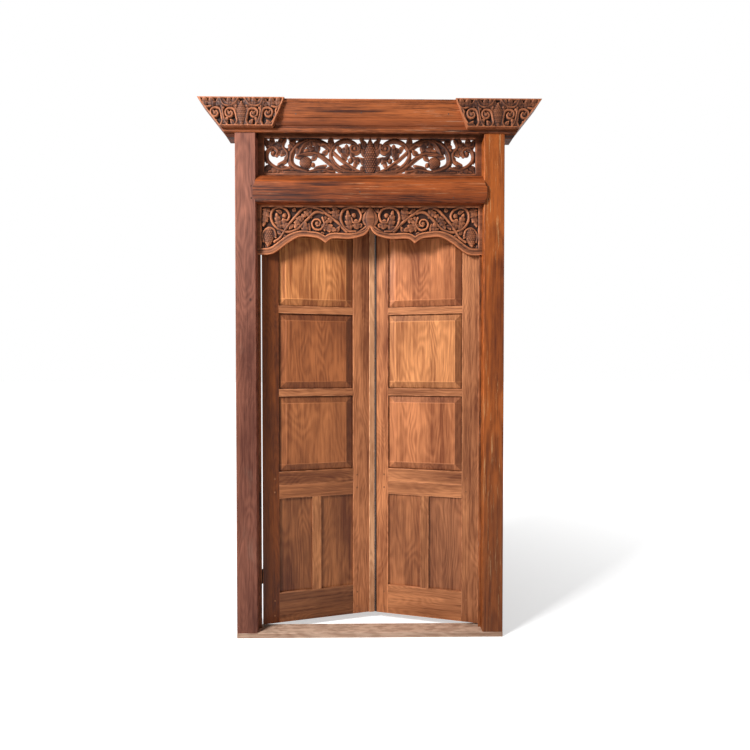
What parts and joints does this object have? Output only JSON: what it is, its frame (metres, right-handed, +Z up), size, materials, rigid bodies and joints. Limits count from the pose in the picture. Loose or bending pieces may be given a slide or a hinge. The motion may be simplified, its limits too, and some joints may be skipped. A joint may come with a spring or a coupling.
{
  "type": "carved double-leaf temple door with its frame",
  "caption": "Double-leaf panelled wooden door in a post-and-beam frame with a flared crown, a pierced transom grille and a scalloped carved valance.",
  "frame": {"origin": "centre of the sill's underside, at the middle of the posts' depth", "axes": "+Z up, +X to the right seen from outside, +Y into the building, the way the leaves open"},
  "size_m": [1.712, 0.2624, 2.72],
  "materials": {
    "frame_wood": "old oiled hardwood, worn",
    "left_post_wood": "old hardwood, purple-brown",
    "right_post_wood": "old hardwood, orange-brown, worn pale",
    "carved_wood": "oiled, dark in the hollows",
    "leaf_wood": "old hardwood",
    "panel_wood": "golden brown, strong upright grain",
    "raw_wood": "pale new hardwood",
    "hinge_steel": "dark oiled steel"
  },
  "bodies": {
    "frame": {"crown_cornice": "frame_wood", "crown_necking": "frame_wood", "frame_pegs": "frame_wood", "head_beam": "frame_wood", "left_crown_block": "carved_wood", "left_lower_hinge_pin": "hinge_steel", "left_post": "left_post_wood", "left_post_lower_hinge_plate": "hinge_steel", "left_post_upper_hinge_plate": "hinge_steel", "left_stop_bead": "frame_wood", "left_upper_hinge_pin": "hinge_steel", "right_crown_block": "carved_wood", "right_lower_hinge_pin": "hinge_steel", "right_post": "right_post_wood", "right_post_lower_hinge_plate": "hinge_steel", "right_post_upper_hinge_plate": "hinge_steel", "right_stop_bead": "frame_wood", "right_upper_hinge_pin": "hinge_steel", "threshold": "raw_wood", "transom_beam": "frame_wood", "transom_grille": "carved_wood", "valance": "carved_wood"},
    "left_leaf": {"left_leaf_astragal": "raw_wood", "left_leaf_bottom_rail": "leaf_wood", "left_leaf_hinge_side_flat_panel": "panel_wood", "left_leaf_hinge_stile": "leaf_wood", "left_leaf_lower_hinge_plate": "hinge_steel", "left_leaf_lower_lock_rail": "leaf_wood", "left_leaf_lower_rail": "leaf_wood", "left_leaf_lower_raised_panel": "panel_wood", "left_leaf_meeting_side_flat_panel": "panel_wood", "left_leaf_meeting_stile": "leaf_wood", "left_leaf_middle_panel": "panel_wood", "left_leaf_muntin": "leaf_wood", "left_leaf_pegs": "leaf_wood", "left_leaf_top_rail": "leaf_wood", "left_leaf_upper_hinge_plate": "hinge_steel", "left_leaf_upper_lock_rail": "leaf_wood", "left_leaf_upper_panel": "panel_wood", "left_leaf_upper_rail": "leaf_wood"},
    "right_leaf": {"right_leaf_bottom_rail": "leaf_wood", "right_leaf_hinge_side_flat_panel": "panel_wood", "right_leaf_hinge_stile": "leaf_wood", "right_leaf_lower_hinge_plate": "hinge_steel", "right_leaf_lower_lock_rail": "leaf_wood", "right_leaf_lower_rail": "leaf_wood", "right_leaf_lower_raised_panel": "panel_wood", "right_leaf_meeting_side_flat_panel": "panel_wood", "right_leaf_meeting_stile": "leaf_wood", "right_leaf_middle_panel": "panel_wood", "right_leaf_muntin": "leaf_wood", "right_leaf_pegs": "leaf_wood", "right_leaf_top_rail": "leaf_wood", "right_leaf_upper_hinge_plate": "hinge_steel", "right_leaf_upper_lock_rail": "leaf_wood", "right_leaf_upper_panel": "panel_wood", "right_leaf_upper_rail": "leaf_wood"}
  },
  "joints": [
    {"name": "left_leaf_hinge", "type": "hinge", "parent": "frame", "child": "left_leaf", "pos_m": [-0.572, 0.051, 1.1545], "axis": [0, 0, 1], "range_deg": [-13, 80]},
    {"name": "right_leaf_hinge", "type": "hinge", "parent": "frame", "child": "right_leaf", "pos_m": [0.5745, 0.051, 1.1545], "axis": [0, 0, -1], "range_deg": [-13.4, 80]}
  ]
}
